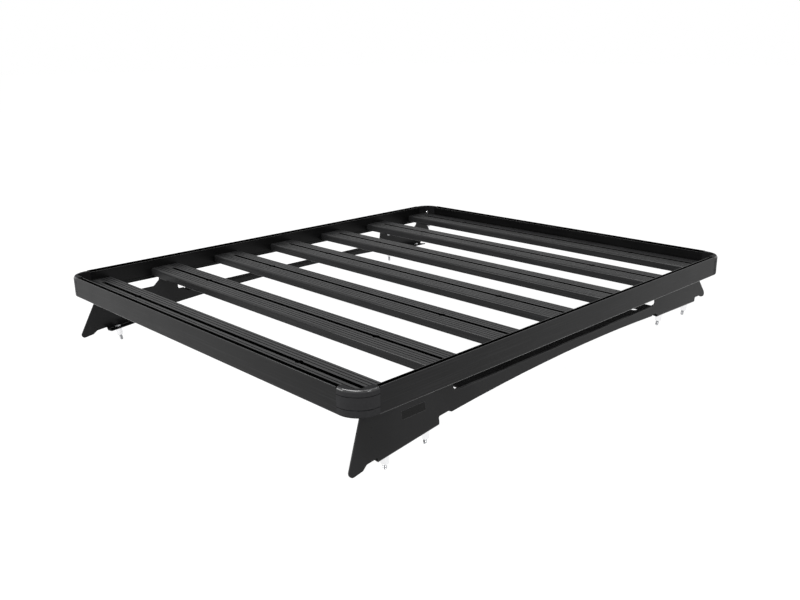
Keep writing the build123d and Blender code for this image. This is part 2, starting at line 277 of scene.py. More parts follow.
# Bright plated or turned metal: cloudy plating and fine tool marks round the vertical
def makePlatingGroup():
    tree = bpy.data.node_groups.new("platingSurface", "ShaderNodeTree")
    start, end = addSockets(
        tree,
        {
            "Vector": ("NodeSocketVector", None),
            "Bright": ("NodeSocketColor", (0.86, 0.87, 0.88, 1)),
            "Dull": ("NodeSocketColor", (0.70, 0.70, 0.69, 1)),
            "Ring Scale": ("NodeSocketFloat", 900.0),
            "Cloud Scale": ("NodeSocketFloat", 180.0),
            "Rough Low": ("NodeSocketFloat", 0.16),
            "Rough High": ("NodeSocketFloat", 0.34),
        },
        {"Color": "NodeSocketColor", "Roughness": "NodeSocketFloat", "Height": "NodeSocketFloat"},
    )
    cloud = put(tree, "ShaderNodeTexNoise")
    cloud.inputs["Detail"].default_value = 3
    rings = put(tree, "ShaderNodeTexWave", wave_type="BANDS", bands_direction="Z")
    rings.inputs["Distortion"].default_value = 0.6
    blend = put(tree, "ShaderNodeMix", data_type="RGBA")
    rough = put(tree, "ShaderNodeMapRange")
    wire(
        tree,
        (start.outputs["Vector"], cloud.inputs["Vector"]),
        (start.outputs["Cloud Scale"], cloud.inputs["Scale"]),
        (start.outputs["Vector"], rings.inputs["Vector"]),
        (start.outputs["Ring Scale"], rings.inputs["Scale"]),
        (start.outputs["Bright"], blend.inputs["A"]),
        (start.outputs["Dull"], blend.inputs["B"]),
        (cloud.outputs["Fac"], blend.inputs["Factor"]),
        (cloud.outputs["Fac"], rough.inputs["Value"]),
        (start.outputs["Rough Low"], rough.inputs["To Min"]),
        (start.outputs["Rough High"], rough.inputs["To Max"]),
        (blend.outputs["Result"], end.inputs["Color"]),
        (rough.outputs["Result"], end.inputs["Roughness"]),
        (rings.outputs["Fac"], end.inputs["Height"]),
    )
    return tree


coatGroup = makeCoatGroup()
drawLineGroup = makeDrawLineGroup()
edgeRubGroup = makeEdgeRubGroup()
faceLieGroup = makeFaceLieGroup()
slotShadeGroup = makeSunkGroup()
innerShadeGroup = makeInnerGroup()
platingGroup = makePlatingGroup()


def newMaterial(name):
    material = bpy.data.materials.new(name)
    material.use_nodes = True
    tree = material.node_tree
    shader = tree.nodes["Principled BSDF"]
    place = put(tree, "ShaderNodeTexCoord").outputs["Object"]
    return material, tree, shader, place


# Powder coats, one finish for each kind of piece
coatFinish = {
    "slatCoat": {
        "tone": (0.0080, 0.0140), "gloss": 0.12, "stretch": (0.012, 1, 1), "peel": 1500, "rub": 1.6 * mm,
        "rough": (0.38, 0.46), "flatRough": 0.0, "edge": 0.008, "polish": 0.28, "drawn": 0.021,
    },
    # The rails' edge tone is paler than their coat: a painted highlight along the rounded edges
    "endRailCoat": {
        "tone": (0.0046, 0.0084), "gloss": 0.115, "stretch": (0.012, 1, 1), "peel": 1300, "rub": 1.2 * mm,
        "rough": (0.28, 0.38), "flatRough": 0.0, "edge": 0.024, "polish": 0.5,
        "drawn": 0.0150, "inner": 0.0012,
    },
    "sideRailCoat": {
        "tone": (0.0050, 0.0088), "gloss": 0.13, "stretch": (1, 0.012, 1), "peel": 1300, "rub": 1.2 * mm,
        "rough": (0.28, 0.38), "flatRough": 0.0, "edge": 0.024, "polish": 0.5,
        "drawn": 0.0160, "inner": 0.0012,
    },
    # Corner coat: paler tone with little gloss, its colour standing in for the sheen of the rails' coat
    # (painted reflection)
    "cornerCoat": {
        "tone": (0.0310, 0.0400), "gloss": 0.02, "stretch": (1, 1, 1), "peel": 900, "rub": 1.6 * mm,
        "rough": (0.26, 0.34), "flatRough": 0.45, "edge": 0.020, "polish": 0.9, "polishDrop": 7.0 * mm,
        "mattTop": 0.016, "inner": 0.006,
    },
    "footCoat": {
        "tone": (0.0095, 0.0165), "gloss": 0.15, "stretch": (1, 0.2, 1), "peel": 1100, "rub": 1.0 * mm,
        "rough": (0.28, 0.38), "flatRough": 0.55, "edge": 0.014, "polish": 0.3, "mattTop": 0.004,
    },
}
# What all the coats share
coatWear = {
    "peelDepth": 0.10,
    "peelHeight": 0.4 * mm,
    "rubbed": 0.024,
    "rubShare": 0.5,
    "edgeRough": -0.08,
    "polishRough": 0.07,
    "streakRough": (-0.03, 0.05),
    "drawnRange": (0.5, 0.75),
    # Near-black colour and roughness of slot insides: painted shade
    "sunk": 0.0006,
    "sunkRough": 0.9,
}
slotSizes = {
    "railHalf": 6.68 * mm,
    "railDepth": 10.05 * mm,
    "railCentre": 8.25 * mm,
    "slatHalf": 34.0 * mm,
    "slatDepth": 9.0 * mm,
    "skin": 0.05 * mm,
}


# Slots and grooves of the extrusions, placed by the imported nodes
def slotMeasures():
    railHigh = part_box("right_rail")[1]
    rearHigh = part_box("rear_rail")[1]
    slatLow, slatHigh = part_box("slat_1")
    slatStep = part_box("slat_2")[0].y - slatLow.y
    skin, railCentre = slotSizes["skin"], slotSizes["railCentre"]
    rail = {
        "half": slotSizes["railHalf"],
        "top": railHigh.z - skin,
        "bottom": railHigh.z - slotSizes["railDepth"],
    }
    return {
        "sideRailCoat": {"axis": "X", "centre": railHigh.x - railCentre, **rail},
        "endRailCoat": {"axis": "Y", "centre": rearHigh.y - railCentre, **rail},
        "slatCoat": {
            "axis": "Y",
            "first": (slatLow.y + slatHigh.y) / 2,
            "step": slatStep,
            "half": slotSizes["slatHalf"],
            "top": slatHigh.z - 2 * skin,
            "bottom": slatHigh.z - slotSizes["slatDepth"],
        },
    }


slots = slotMeasures()


def slotShadeMask(tree, place, slot):
    parts = put(tree, "ShaderNodeSeparateXYZ")
    sunk = put(tree, "ShaderNodeGroup", node_tree=slotShadeGroup)
    tree.links.new(place, parts.inputs["Vector"])
    offset = parts.outputs[slot["axis"]]
    if "step" in slot:  # one slot on each slat
        across = calc(tree, "PINGPONG", calc(tree, "SUBTRACT", offset, slot["first"]), slot["step"] / 2)
    else:  # a pair of rails
        across = calc(tree, "SUBTRACT", calc(tree, "ABSOLUTE", offset), slot["centre"])
    wire(tree, (across, sunk.inputs["Across"]), (parts.outputs["Z"], sunk.inputs["Height"]))
    for name, key in (("Half Width", "half"), ("Top", "top"), ("Bottom", "bottom")):
        sunk.inputs[name].default_value = slot[key]
    return sunk.outputs["Mask"]


def mixColor(tree, factor, a, b):
    mix = put(tree, "ShaderNodeMix", data_type="RGBA")
    mix.inputs["B"].default_value = b
    wire(tree, (factor, mix.inputs["Factor"]), (a, mix.inputs["A"]))
    return mix.outputs["Result"]


def grey(value):
    coolBlue = 1.04
    return (value, value, value * coolBlue, 1)


# The groups that every coat shares, set to its finish
def placeCoatGroups(tree, place, face, finish):
    coat = put(tree, "ShaderNodeGroup", node_tree=coatGroup)
    coat.inputs["Peel Scale"].default_value = finish["peel"]
    setPair(coat, "Dark", "Pale", [grey(tone) for tone in finish["tone"]])
    setPair(coat, "Rough Low", "Rough High", finish["rough"])
    lines = put(tree, "ShaderNodeGroup", node_tree=drawLineGroup)
    lines.inputs["Stretch"].default_value = finish["stretch"]
    bevel = put(tree, "ShaderNodeBevel", samples=4)
    bevel.inputs["Radius"].default_value = finish["rub"]
    rub = put(tree, "ShaderNodeGroup", node_tree=edgeRubGroup)
    lie = put(tree, "ShaderNodeGroup", node_tree=faceLieGroup)
    wire(
        tree,
        (place, coat.inputs["Vector"]),
        (place, lines.inputs["Vector"]),
        (place, rub.inputs["Vector"]),
        (bevel.outputs["Normal"], rub.inputs["Round Normal"]),
        (face, rub.inputs["Face Normal"]),
        (face, lie.inputs["Normal"]),
    )
    return {"coat": coat, "lines": lines, "rub": rub, "lie": lie}


def coatColor(tree, place, face, groups, finish):
    color = groups["coat"].outputs["Color"]
    if "drawn" in finish:  # paler streaks along the extrusion
        drawn = put(tree, "ShaderNodeMapRange")
        setPair(drawn, "From Min", "From Max", coatWear["drawnRange"])
        tree.links.new(groups["lines"].outputs["Lines"], drawn.inputs["Value"])
        color = mixColor(tree, drawn.outputs["Result"], color, grey(finish["drawn"]))
    if "inner" in finish:  # faces that look into the tray painted darker: painted shade
        inner = put(tree, "ShaderNodeGroup", node_tree=innerShadeGroup)
        wire(tree, (place, inner.inputs["Vector"]), (face, inner.inputs["Normal"]))
        color = mixColor(tree, inner.outputs["Mask"], color, grey(finish["inner"]))
    rubbed = calc(tree, "MULTIPLY", groups["rub"].outputs["Mask"], coatWear["rubShare"])
    color = mixColor(tree, rubbed, color, grey(coatWear["rubbed"]))
    # Rounded edges take the finish's edge tone; on the rails it is paler than the coat, a painted highlight
    # along the rounded edges
    color = mixColor(tree, groups["lie"].outputs["Round"], color, grey(finish["edge"]))
    if "mattTop" in finish:  # flat tops painted darker: painted shade
        color = mixColor(tree, groups["lie"].outputs["Flat"], color, grey(finish["mattTop"]))
    return color


def coatRough(tree, groups, finish):
    streak = put(tree, "ShaderNodeMapRange")
    setPair(streak, "To Min", "To Max", coatWear["streakRough"])
    tree.links.new(groups["lines"].outputs["Lines"], streak.inputs["Value"])
    onRound = calc(tree, "MULTIPLY", groups["lie"].outputs["Round"], coatWear["edgeRough"])
    onFlat = calc(tree, "MULTIPLY", groups["lie"].outputs["Flat"], finish["flatRough"])
    rough = calc(tree, "ADD", groups["coat"].outputs["Roughness"], streak.outputs["Result"])
    return calc(tree, "ADD", calc(tree, "ADD", rough, onRound), onFlat)


# Clear gloss on rounded edges that handling polishes
def edgePolish(tree, place, groups, finish):
    polish = calc(tree, "MULTIPLY", groups["lie"].outputs["Round"], finish["polish"])
    if "polishDrop" in finish:  # only the top edge, not the grooves below it
        parts = put(tree, "ShaderNodeSeparateXYZ")
        tree.links.new(place, parts.inputs["Vector"])
        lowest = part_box("right_rail")[1].z - finish["polishDrop"]
        above = calc(tree, "GREATER_THAN", parts.outputs["Z"], lowest)
        polish = calc(tree, "MULTIPLY", polish, above)
    return polish


def makeCoat(name, finish):
    material, tree, shader, place = newMaterial(name)
    shader.inputs["Specular IOR Level"].default_value = finish["gloss"]
    shader.inputs["Coat Roughness"].default_value = coatWear["polishRough"]
    face = put(tree, "ShaderNodeNewGeometry").outputs["Normal"]
    groups = placeCoatGroups(tree, place, face, finish)
    color = coatColor(tree, place, face, groups, finish)
    rough = coatRough(tree, groups, finish)
    relief = calc(tree, "ADD", groups["coat"].outputs["Height"], groups["lines"].outputs["Lines"])
    bump = put(tree, "ShaderNodeBump")
    setPair(bump, "Strength", "Distance", (coatWear["peelDepth"], coatWear["peelHeight"]))
    # Flat tops made metallic and near black so they lose their reflection: painted shade
    if "mattTop" in finish:
        tree.links.new(groups["lie"].outputs["Flat"], shader.inputs["Metallic"])
    if name in slots:  # slot insides painted near black and matt metal: painted shade
        sunk = slotShadeMask(tree, place, slots[name])
        color = mixColor(tree, sunk, color, grey(coatWear["sunk"]))
        rough = calc(tree, "MAXIMUM", rough, calc(tree, "MULTIPLY", sunk, coatWear["sunkRough"]))
        tree.links.new(sunk, shader.inputs["Metallic"])
    wire(
        tree,
        (color, shader.inputs["Base Color"]),
        (rough, shader.inputs["Roughness"]),
        (edgePolish(tree, place, groups, finish), shader.inputs["Coat Weight"]),
        (relief, bump.inputs["Height"]),
        (bump.outputs["Normal"], shader.inputs["Normal"]),
    )
    return material


# Bright metal of the fasteners and sleeves
platingFinish = {
    "zincPlate": {
        "bright": (0.52, 0.53, 0.55, 1), "dull": (0.38, 0.38, 0.38, 1), "rings": 1200, "depth": 0.06,
    },
    "turnedSleeve": {
        "bright": (0.92, 0.92, 0.93, 1), "dull": (0.80, 0.80, 0.81, 1), "rings": 900, "depth": 0.14,
    },
    "stainlessBolt": {
        "bright": (0.66, 0.66, 0.67, 1), "dull": (0.52, 0.52, 0.52, 1), "rings": 700, "depth": 0.06,
    },
}
ringHeight = 0.2 * mm


def makePlating(name, finish):
    material, tree, shader, place = newMaterial(name)
    shader.inputs["Metallic"].default_value = 1.0
    plating = put(tree, "ShaderNodeGroup", node_tree=platingGroup)
    setPair(plating, "Bright", "Dull", (finish["bright"], finish["dull"]))
    plating.inputs["Ring Scale"].default_value = finish["rings"]
    bump = put(tree, "ShaderNodeBump")
    setPair(bump, "Strength", "Distance", (finish["depth"], ringHeight))
    wire(
        tree,
        (place, plating.inputs["Vector"]),
        (plating.outputs["Color"], shader.inputs["Base Color"]),
        (plating.outputs["Roughness"], shader.inputs["Roughness"]),
        (plating.outputs["Height"], bump.inputs["Height"]),
        (bump.outputs["Normal"], shader.inputs["Normal"]),
    )
    return material


# Plastic of the plugs and film of the labels
mouldedFinish = {
    "plugPlastic": {
        "dark": (0.010, 0.010, 0.010, 1), "pale": (0.018, 0.018, 0.018, 1),
        "rough": (0.48, 0.62), "grain": 2200,
    },
    "labelFilm": {
        "dark": (0.004, 0.004, 0.004, 1), "pale": (0.006, 0.006, 0.006, 1),
        "rough": (0.20, 0.28), "grain": 600,
    },
    "labelBorder": {
        "dark": (0.030, 0.030, 0.031, 1), "pale": (0.042, 0.042, 0.043, 1),
        "rough": (0.34, 0.42), "grain": 900,
    },
}
mouldedLook = {"gloss": 0.12, "grainDepth": 0.08, "grainHeight": 0.3 * mm}


def makeMoulded(name, finish):
    material, tree, shader, place = newMaterial(name)
    shader.inputs["Specular IOR Level"].default_value = mouldedLook["gloss"]
    coat = put(tree, "ShaderNodeGroup", node_tree=coatGroup)
    coat.inputs["Peel Scale"].default_value = finish["grain"]
    setPair(coat, "Dark", "Pale", (finish["dark"], finish["pale"]))
    setPair(coat, "Rough Low", "Rough High", finish["rough"])
    bump = put(tree, "ShaderNodeBump")
    setPair(bump, "Strength", "Distance", (mouldedLook["grainDepth"], mouldedLook["grainHeight"]))
    wire(
        tree,
        (place, coat.inputs["Vector"]),
        (coat.outputs["Color"], shader.inputs["Base Color"]),
        (coat.outputs["Roughness"], shader.inputs["Roughness"]),
        (coat.outputs["Height"], bump.inputs["Height"]),
        (bump.outputs["Normal"], shader.inputs["Normal"]),
    )
    return material


finishes = {name: makeCoat(name, finish) for name, finish in coatFinish.items()}
finishes |= {name: makePlating(name, finish) for name, finish in platingFinish.items()}
finishes |= {name: makeMoulded(name, finish) for name, finish in mouldedFinish.items()}


def dress(nodeName, finishName):
    mesh = nodes[nodeName].data
    mesh.materials.clear()
    mesh.materials.append(finishes[finishName])


for nodeName in nodes:
    if "plugs" in nodeName:
        dress(nodeName, "plugPlastic")
    elif nodeName.startswith("slat_"):
        dress(nodeName, "slatCoat")
    elif nodeName in ("front_rail", "rear_rail"):
        dress(nodeName, "endRailCoat")
    elif nodeName in ("left_rail", "right_rail"):
        dress(nodeName, "sideRailCoat")
    elif nodeName.endswith("_corner"):
        dress(nodeName, "cornerCoat")
    elif nodeName.endswith("foot_rail"):
        dress(nodeName, "footCoat")
    elif nodeName.endswith("spacers"):
        dress(nodeName, "turnedSleeve")
    else:
        dress(nodeName, "zincPlate")
print("materials on", len(nodes), "nodes")


# Lathe with a free radius at each angle: rings is a list of (radius function, height function)
def latheMesh(name, rings, steps):
    work = bmesh.new()
    loops = []
    for radiusAt, heightAt in rings:
        loop = []
        for step in range(steps):
            angle = 2 * math.pi * step / steps
            radius = radiusAt(angle)
            x, y = radius * math.cos(angle), radius * math.sin(angle)
            loop.append(work.verts.new((x, y, heightAt(angle))))
        loops.append(loop)
    for lower, upper in zip(loops, loops[1:]):
        for step in range(steps):
            after = (step + 1) % steps
            work.faces.new((lower[step], lower[after], upper[after], upper[step]))
    work.faces.new(list(reversed(loops[0])))
    work.faces.new(loops[-1])
    bmesh.ops.recalc_face_normals(work, faces=work.faces)
    mesh = bpy.data.meshes.new(name)
    work.to_mesh(mesh)
    work.free()
    return mesh


def steady(value):
    return lambda angle: value


def hexRadius(across):
    def radiusAt(angle):
        part = (angle + math.pi / 6) % (math.pi / 3) - math.pi / 6
        return across / 2 / math.cos(part)

    return radiusAt


roundSteps = 36
fastenerAngles = {"chamfer": 30, "crease": 28}


# Height of a hexagon's edge where a chamfer takes its corners off
def chamfered(across, height, way):
    radiusAt = hexRadius(across)
    fall = math.tan(math.radians(fastenerAngles["chamfer"]))
    return lambda angle: height - way * max(0.0, radiusAt(angle) - across / 2) * fall


def newPiece(name, mesh):
    piece = bpy.data.objects.new(name, mesh)
    scene.collection.objects.link(piece)
    return piece


# Geometry Nodes: a threaded rod beside a plain template, set on points along their axis attribute
def makeFastenerTree():
    tree = bpy.data.node_groups.new("threadedFasteners", "GeometryNodeTree")
    tree.is_modifier = True
    start, end = addSockets(
        tree,
        {
            "Geometry": ("NodeSocketGeometry", None),
            "Template": ("NodeSocketObject", None),
            "Thread Radius": ("NodeSocketFloat", 0.004),
            "Thread Pitch": ("NodeSocketFloat", 0.00125),
            "Thread Depth": ("NodeSocketFloat", 0.0006),
            "Thread Length": ("NodeSocketFloat", 0.0135),
            "Thread Middle": ("NodeSocketFloat", 0.0),
            "Rows": ("NodeSocketInt", 66),
            "Sides": ("NodeSocketInt", 28),
            "Finish": ("NodeSocketMaterial", None),
        },
        {"Geometry": "NodeSocketGeometry"},
    )
    rod = put(tree, "GeometryNodeMeshCylinder")
    place = put(tree, "GeometryNodeInputPosition")
    parts = put(tree, "ShaderNodeSeparateXYZ")
    wire(
        tree,
        (start.outputs["Sides"], rod.inputs["Vertices"]),
        (start.outputs["Rows"], rod.inputs["Side Segments"]),
        (start.outputs["Thread Radius"], rod.inputs["Radius"]),
        (start.outputs["Thread Length"], rod.inputs["Depth"]),
        (place.outputs["Position"], parts.inputs["Vector"]),
    )
    turn = calc(tree, "DIVIDE", calc(tree, "ARCTAN2", parts.outputs["Y"], parts.outputs["X"]), 2 * math.pi)
    climb = calc(tree, "DIVIDE", parts.outputs["Z"], start.outputs["Thread Pitch"])
    ridge = calc(tree, "PINGPONG", calc(tree, "SUBTRACT", climb, turn), 0.5)
    sink = calc(tree, "MULTIPLY", calc(tree, "MULTIPLY", ridge, 2.0), start.outputs["Thread Depth"])
    shrink = calc(tree, "DIVIDE", calc(tree, "MULTIPLY", sink, -1.0), start.outputs["Thread Radius"])
    flat = put(tree, "ShaderNodeCombineXYZ")
    push = put(tree, "ShaderNodeVectorMath", operation="SCALE")
    cut = put(tree, "GeometryNodeSetPosition")
    lift = put(tree, "ShaderNodeCombineXYZ")
    move = put(tree, "GeometryNodeTransform")
    template = put(tree, "GeometryNodeObjectInfo")
    join = put(tree, "GeometryNodeJoinGeometry")
    axis = put(tree, "GeometryNodeInputNamedAttribute", data_type="FLOAT_VECTOR")
    axis.inputs["Name"].default_value = "axis"
    aim = put(tree, "FunctionNodeAlignRotationToVector", axis="Z")
    instance = put(tree, "GeometryNodeInstanceOnPoints")
    realize = put(tree, "GeometryNodeRealizeInstances")
    paint = put(tree, "GeometryNodeSetMaterial")
    wire(
        tree,
        (parts.outputs["X"], flat.inputs["X"]),
        (parts.outputs["Y"], flat.inputs["Y"]),
        (flat.outputs["Vector"], push.inputs[0]),
        (shrink, push.inputs["Scale"]),
        (rod.outputs["Mesh"], cut.inputs["Geometry"]),
        (push.outputs["Vector"], cut.inputs["Offset"]),
        (cut.outputs["Geometry"], move.inputs["Geometry"]),
        (start.outputs["Thread Middle"], lift.inputs["Z"]),
        (lift.outputs["Vector"], move.inputs["Translation"]),
        (start.outputs["Template"], template.inputs["Object"]),
        (template.outputs["Geometry"], join.inputs["Geometry"]),
        (move.outputs["Geometry"], join.inputs["Geometry"]),
        (start.outputs["Geometry"], instance.inputs["Points"]),
        (join.outputs["Geometry"], instance.inputs["Instance"]),
        (axis.outputs["Attribute"], aim.inputs["Vector"]),
        (aim.outputs["Rotation"], instance.inputs["Rotation"]),
        (instance.outputs["Instances"], realize.inputs["Geometry"]),
        (realize.outputs["Geometry"], paint.inputs["Geometry"]),
        (start.outputs["Finish"], paint.inputs["Material"]),
        (paint.outputs["Geometry"], end.inputs["Geometry"]),
    )
    return tree


fastenerTree = makeFastenerTree()


def setInput(modifier, tree, name, value):
    for item in tree.interface.items_tree:
        if item.item_type == "SOCKET" and item.in_out == "INPUT" and item.name == name:
            modifier[item.identifier] = value


def setFasteners(name, places, templateMesh, thread, finish):
    points = bpy.data.meshes.new(name)
    points.from_pydata([place for place, axis in places], [], [])
    axisLayer = points.attributes.new("axis", "FLOAT_VECTOR", "POINT")
    for index, (place, axis) in enumerate(places):
        axisLayer.data[index].vector = axis
    piece = newPiece(name, points)
    template = newPiece(name + "Template", templateMesh)
    modifier = piece.modifiers.new("fasteners", "NODES")
    modifier.node_group = fastenerTree
    setInput(modifier, fastenerTree, "Template", template)
    setInput(modifier, fastenerTree, "Finish", finish)
    for key, value in thread.items():
        setInput(modifier, fastenerTree, key, value)
    bpy.context.view_layer.update()
    evaluated = piece.evaluated_get(bpy.context.evaluated_depsgraph_get())
    piece.data = bpy.data.meshes.new_from_object(evaluated)
    piece.modifiers.clear()
    bpy.data.objects.remove(template)
    piece.data.set_sharp_from_angle(angle=math.radians(fastenerAngles["crease"]))
    return piece


# Studs that hold the rack to a roof: hexagon head above the flange, thread below the sleeve
stud = {
    "across": 13.0 * mm,
    "headHeight": 5.3 * mm,
    "shankRadius": 3.55 * mm,
    "threadRadius": 4.0 * mm,
    "threadLength": 13.5 * mm,
    "threadDepth": 0.6 * mm,
    "threadRows": 66,
    "flange": 3.0 * mm,
    "sleeve": 19.0 * mm,
    "tip": 1.0 * mm,
    "tipBevel": 0.5 * mm,
    "tipTaper": 0.6 * mm,
    "neck": 0.4 * mm,
    "seatBevel": 0.1 * mm,
    "seatRadius": 6.175 * mm,
    "crownRadius": 6.11 * mm,
}


def studMesh():
    half = stud["threadLength"] / 2
    tip, neck, shank = stud["tip"], stud["neck"], stud["shankRadius"]
    core = stud["threadRadius"] - stud["threadDepth"]
    seat = half + stud["sleeve"] + stud["flange"]
    top = seat + stud["headHeight"]
    across = stud["across"]
    rings = [
        (steady(core - stud["tipBevel"]), steady(-half - tip)),
        (steady(core), steady(-half - tip + stud["tipTaper"])),
        (steady(core), steady(half)),
        (steady(shank), steady(half + neck)),
        (steady(shank), steady(seat)),
        (steady(stud["seatRadius"]), steady(seat)),
        (steady(stud["seatRadius"]), steady(seat + neck)),
        (hexRadius(across), steady(seat + neck + stud["seatBevel"])),
        (hexRadius(across), chamfered(across, top, 1)),
        (steady(stud["crownRadius"]), steady(top)),
    ]
    return latheMesh("studTemplate", rings, roundSteps)


studPlaces = []
for mount in mounts:
    if mount["kind"] == "pin":
        studPlaces.append((Vector(mount["pos_m"]), -Vector(mount["axis"])))
studPiece = setFasteners(
    "roofStuds",
    studPlaces,
    studMesh(),
    {
        "Thread Radius": stud["threadRadius"],
        "Thread Depth": stud["threadDepth"],
        "Thread Length": stud["threadLength"],
        "Rows": stud["threadRows"],
    },
    finishes["zincPlate"],
)
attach(studPiece, "root")
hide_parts(*[name for name in nodes if name.endswith("_studs")])
print("studs", len(studPiece.data.polygons), "faces")


# Flanged nuts under the ears
nut = {
    "across": 13.0 * mm,
    "height": 6.8 * mm,
    "flangeRadius": 8.0 * mm,
    "flange": 1.6 * mm,
    "flangeRim": 1.2 * mm,
    "cone": 1.0 * mm,
    "bore": 3.7 * mm,
    "boreDepth": 0.6 * mm,
    "boreBevel": 0.7 * mm,
    "crownRadius": 6.11 * mm,
    "threadRadius": 4.03 * mm,
    "threadDepth": 0.5 * mm,
    "threadOverlap": 2.0 * mm,
    "threadRows": 30,
}


def nutMesh():
    low = -nut["flange"] - nut["height"]
    across = nut["across"]
    rings = [
        (steady(nut["bore"]), steady(low + nut["boreDepth"])),
        (steady(nut["bore"] + nut["boreBevel"]), steady(low)),
        (steady(nut["crownRadius"]), steady(low)),
        (hexRadius(across), chamfered(across, low, -1)),
        (hexRadius(across), steady(-nut["flange"] - nut["cone"])),
        (steady(nut["flangeRadius"]), steady(-nut["flangeRim"])),
        (steady(nut["flangeRadius"]), steady(0)),
    ]
    return latheMesh("nutTemplate", rings, roundSteps)


nutPlaces = []
for nodeName in nodes:
    if nodeName.endswith("_nuts"):
        low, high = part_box(nodeName)
        middle = (low.x + high.x) / 2
        for along in (low.y + nut["flangeRadius"], high.y - nut["flangeRadius"]):
            nutPlaces.append((Vector((middle, along, high.z)), Vector((0, 0, 1))))
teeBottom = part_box("right_front_tee_bolts")[0].z
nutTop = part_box("right_front_nuts")[1].z
teeReach = nutTop - nut["flange"] - nut["height"] - teeBottom
threadLength = teeReach + nut["threadOverlap"]
nutPiece = setFasteners(
    "earNuts",
    nutPlaces,
    nutMesh(),
    {
        "Thread Length": threadLength,
        "Thread Middle": teeBottom - nutTop + threadLength / 2,
        "Thread Radius": nut["threadRadius"],
        "Thread Depth": nut["threadDepth"],
        "Rows": nut["threadRows"],
    },
    finishes["zincPlate"],
)
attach(nutPiece, "root")
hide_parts(*[name for name in nodes if name.endswith("_nuts")])
print("nuts", len(nutPiece.data.polygons), "faces")


# Button heads with a hexagon socket in the inner corners
button = {
    "radius": 5.5 * mm,
    "height": 3.3 * mm,
    "domeTurn": 82,
    "domeSteps": 6,
    "domeFullness": 0.7,
    "rimRadius": 3.0 * mm,
    "socket": 4.0 * mm,
    "socketDepth": 2.0 * mm,
    "shank": 3.0 * mm,
    "shankLength": 5.3 * mm,
    "crease": 35,
}


def buttonMesh():
    socket, height = hexRadius(button["socket"]), button["height"]
    rings = [
        (steady(button["shank"]), steady(-height - button["shankLength"])),
        (steady(button["shank"]), steady(-height)),
    ]
    for part in range(button["domeSteps"] + 1):
        angle = math.radians(button["domeTurn"]) * part / button["domeSteps"]
        radius = button["radius"] * math.cos(angle) ** button["domeFullness"]
        rings.append((steady(max(radius, button["rimRadius"])), steady(-height + height * math.sin(angle))))
    rings += [(socket, steady(0.0)), (socket, steady(-button["socketDepth"]))]
    return latheMesh("buttonTemplate", rings, roundSteps)


def cornerBoltPlace(nodeName):
    low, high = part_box(nodeName.replace("_bolt", ""))
    sideX = 1 if high.x > 0 else -1
    sideY = 1 if high.y > 0 else -1
    outer = Vector((high.x if sideX > 0 else low.x, high.y if sideY > 0 else low.y, 0))
    inward = Vector((-sideX, -sideY, 0)).normalized()
    points = [vertex.co for vertex in nodes[nodeName].data.vertices]
    reach = max((point - outer).dot(inward) for point in points)
    low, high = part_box(nodeName)
    place = outer + inward * reach
    place.z = (low.z + high.z) / 2
    return place, inward


def setButtons():
    work = bmesh.new()
    template = buttonMesh()
    for nodeName in nodes:
        if nodeName.endswith("_corner_bolt"):
            place, inward = cornerBoltPlace(nodeName)
            turn = inward.to_track_quat("Z", "Y").to_matrix().to_4x4()
            first = len(work.verts)
            work.from_mesh(template)
            work.verts.ensure_lookup_table()
            bmesh.ops.transform(work, matrix=Matrix.Translation(place) @ turn, verts=work.verts[first:])
    mesh = bpy.data.meshes.new("cornerButtons")
    work.to_mesh(mesh)
    work.free()
    mesh.materials.append(finishes["stainlessBolt"])
    mesh.set_sharp_from_angle(angle=math.radians(button["crease"]))
    return newPiece("cornerButtons", mesh)


buttonPiece = setButtons()
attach(buttonPiece, "root")
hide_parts(*[name for name in nodes if name.endswith("_corner_bolt")])
print("corner buttons", len(buttonPiece.data.polygons), "faces")


# Blank film labels on the outside of the foot rails
label = {
    "width": 64.5 * mm,
    "height": 18.0 * mm,
    "corner": 1.6 * mm,
    "leastCorner": 0.4 * mm,
    "thick": 0.35 * mm,
    "edgeThick": 0.28 * mm,
    "filmThick": 0.245 * mm,
    "edgeBevel": 0.15 * mm,
    "border": 1.0 * mm,
    "borderStep": 0.1 * mm,
    "along": -502.7 * mm,
    "drop": 53.5 * mm,
    "slope": 9.0,
    "plateInset": 49.5 * mm,
}


def roundedOutline(width, height, radius, steps=6):
    outline = []
    for cornerX, cornerY, first in ((1, 1, 0), (-1, 1, 90), (-1, -1, 180), (1, -1, 270)):
        for step in range(steps + 1):
            angle = math.radians(first + 90 * step / steps)
            x = cornerX * (width / 2 - radius) + radius * math.cos(angle)
            y = cornerY * (height / 2 - radius) + radius * math.sin(angle)
            outline.append((x, y))
    return outline


